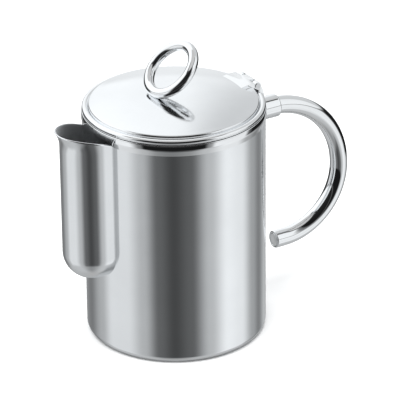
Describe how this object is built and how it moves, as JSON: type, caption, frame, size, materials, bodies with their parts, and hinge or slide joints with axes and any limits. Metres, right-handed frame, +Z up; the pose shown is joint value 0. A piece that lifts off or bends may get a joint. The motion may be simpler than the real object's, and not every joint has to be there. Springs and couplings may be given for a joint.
{
  "type": "coffee pot",
  "caption": "Straight-sided polished metal coffee pot with a hinged domed lid, a tilted ring knob, a pouch spout over a strainer, and an open C-shaped tube handle.",
  "frame": {"origin": "middle of the base, on the surface that the pot stands on", "axes": "+X towards the handle, -X towards the spout, +Z up; the pot is symmetric about the XZ plane"},
  "size_m": [0.2044, 0.1112, 0.1841],
  "materials": {
    "polished_silver": "mirror polished silver plate with faint handling marks",
    "satin_steel": "fine satin, turned in rings",
    "pin_steel": "plain bright steel, slightly duller than the plate"
  },
  "bodies": {
    "pot": {"body_shell": "polished_silver", "base_disc": "satin_steel", "rim_ring": "polished_silver", "spout_pouch": "polished_silver", "handle_socket": "polished_silver", "handle_tube": "polished_silver", "handle_end_plug": "polished_silver", "hinge_bracket": "polished_silver", "hinge_pin": "pin_steel"},
    "lid": {"hinge_leaf": "polished_silver", "lid_dome": "polished_silver", "lid_bead": "polished_silver", "lid_collar": "satin_steel", "knob_ring": "polished_silver", "knob_screw": "pin_steel", "knob_washer": "pin_steel"}
  },
  "joints": [
    {"name": "lid_hinge", "type": "hinge", "parent": "pot", "child": "lid", "pos_m": [0.0534, 0, 0.149], "axis": [0, 1, 0], "range_deg": [0, 100]}
  ]
}
